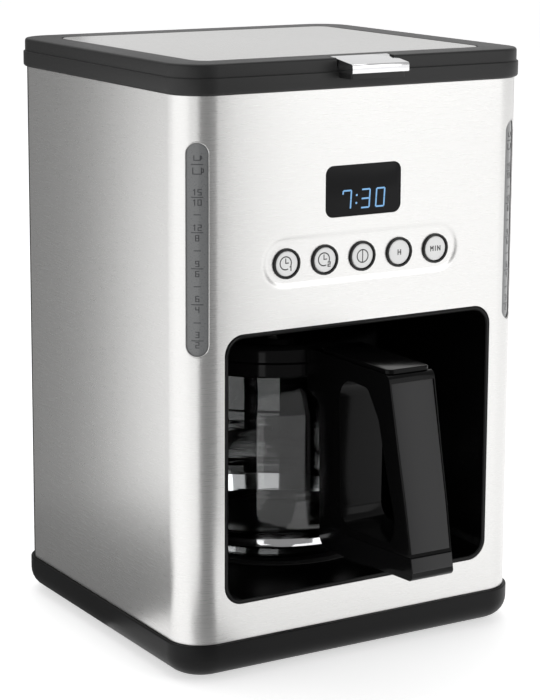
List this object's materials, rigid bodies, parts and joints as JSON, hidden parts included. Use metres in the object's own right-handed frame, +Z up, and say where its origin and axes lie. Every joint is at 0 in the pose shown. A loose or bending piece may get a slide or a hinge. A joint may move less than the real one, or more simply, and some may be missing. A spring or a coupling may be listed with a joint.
{
  "type": "drip coffee maker",
  "caption": "Drip coffee maker with a brushed steel housing, hinged lid, push buttons, display and a glass carafe with a handle in its niche.",
  "frame": {"origin": "on the table under the centre of the housing's plan", "axes": "+Z up, -Y towards the front with the niche and the carafe's handle, +X to the right as seen from the front"},
  "size_m": [0.23, 0.2927, 0.3444],
  "materials": {
    "black_gloss": "gloss moulded",
    "black_matte": "fine texture",
    "steel": "fine horizontal brushing",
    "chrome": "polished",
    "glass": "clear",
    "smoked_clear": "satin smoked with a printed scale",
    "clear_tank": "frosted",
    "light_grey": "satin",
    "rubber": "matte",
    "silicone": "satin",
    "aluminium": "satin",
    "circuit_green": "solder mask",
    "nonstick": "non-stick coating",
    "display": "gloss window with pale blue digits"
  },
  "bodies": {
    "root": {"base_tray": "black_gloss", "bottom_cover": "black_matte", "base_screw_front_left": "chrome", "base_screw_front_right": "chrome", "base_screw_rear_left": "chrome", "base_screw_rear_right": "chrome", "rubber_foot_front_left": "rubber", "rubber_foot_front_right": "rubber", "rubber_foot_rear_left": "rubber", "rubber_foot_rear_right": "rubber", "steel_housing": "steel", "rear_cover": "black_matte", "niche_liner": "black_gloss", "top_collar": "black_gloss", "cord_gland": "rubber", "water_tank": "clear_tank", "water_window_left": "smoked_clear", "water_window_right": "smoked_clear", "filter_deck": "black_matte", "filter_holder": "black_matte", "warming_plate": "nonstick", "plate_gasket": "silicone", "heater_tube": "aluminium", "thermostat": "aluminium", "thermal_fuse": "light_grey", "check_valve": "light_grey", "inlet_hose": "silicone", "riser_tube": "silicone", "button_frame": "black_gloss", "button_pad": "silicone", "control_board": "circuit_green", "power_board": "circuit_green", "display_lens": "display", "display_module": "light_grey", "hinge_pin_left": "chrome", "hinge_pin_right": "chrome", "drip_valve_spring": "chrome"},
    "lid": {"lid_frame": "black_gloss", "lid_plate": "steel", "lid_tab": "chrome", "lid_inner_cover": "black_matte", "shower_head": "black_matte"},
    "program_one_button": {"button_program_one": "light_grey"},
    "program_two_button": {"button_program_two": "light_grey"},
    "power_button": {"button_power": "light_grey"},
    "hour_button": {"button_hour": "light_grey"},
    "minute_button": {"button_minute": "light_grey"},
    "basket": {"filter_basket": "black_matte"},
    "valve": {"drip_valve": "silicone"},
    "carafe": {"carafe_glass": "glass", "carafe_band": "black_gloss", "handle_body": "black_gloss", "handle_front_panel": "black_matte", "handle_end_cap": "black_gloss", "handle_top_cap": "black_gloss", "handle_screw": "chrome", "carafe_lid_pin": "chrome"},
    "carafe_cover": {"carafe_lid": "black_gloss"}
  },
  "joints": [
    {"name": "lid_hinge", "type": "hinge", "parent": "root", "child": "lid", "pos_m": [0, 0.111, 0.333], "axis": [-1, 0, 0], "range_deg": [0, 92]},
    {"name": "program_one_press", "type": "slide", "parent": "root", "child": "program_one_button", "axis": [0, 1, 0], "range_m": [0, 0.0012], "stiffness_N_per_m": 1500},
    {"name": "program_two_press", "type": "slide", "parent": "root", "child": "program_two_button", "axis": [0, 1, 0], "range_m": [0, 0.0012], "stiffness_N_per_m": 1500},
    {"name": "power_press", "type": "slide", "parent": "root", "child": "power_button", "axis": [0, 1, 0], "range_m": [0, 0.0012], "stiffness_N_per_m": 1500},
    {"name": "hour_press", "type": "slide", "parent": "root", "child": "hour_button", "axis": [0, 1, 0], "range_m": [0, 0.0012], "stiffness_N_per_m": 1500},
    {"name": "minute_press", "type": "slide", "parent": "root", "child": "minute_button", "axis": [0, 1, 0], "range_m": [0, 0.0012], "stiffness_N_per_m": 1500},
    {"name": "basket_lift", "type": "slide", "parent": "root", "child": "basket", "axis": [0, 0, 1], "range_m": [0, 0.025]},
    {"name": "valve_lift", "type": "slide", "parent": "root", "child": "valve", "axis": [0, 0, 1], "range_m": [0, 0.004], "stiffness_N_per_m": 150, "deforming": ["drip_valve_spring"]},
    {"name": "carafe_slide", "type": "slide", "parent": "root", "child": "carafe", "axis": [0, -1, 0], "range_m": [0, 0.22]},
    {"name": "carafe_lid_hinge", "type": "hinge", "parent": "carafe", "child": "carafe_cover", "pos_m": [0, -0.0743, 0.1694], "axis": [1, 0, 0], "range_deg": [0, 4]}
  ]
}
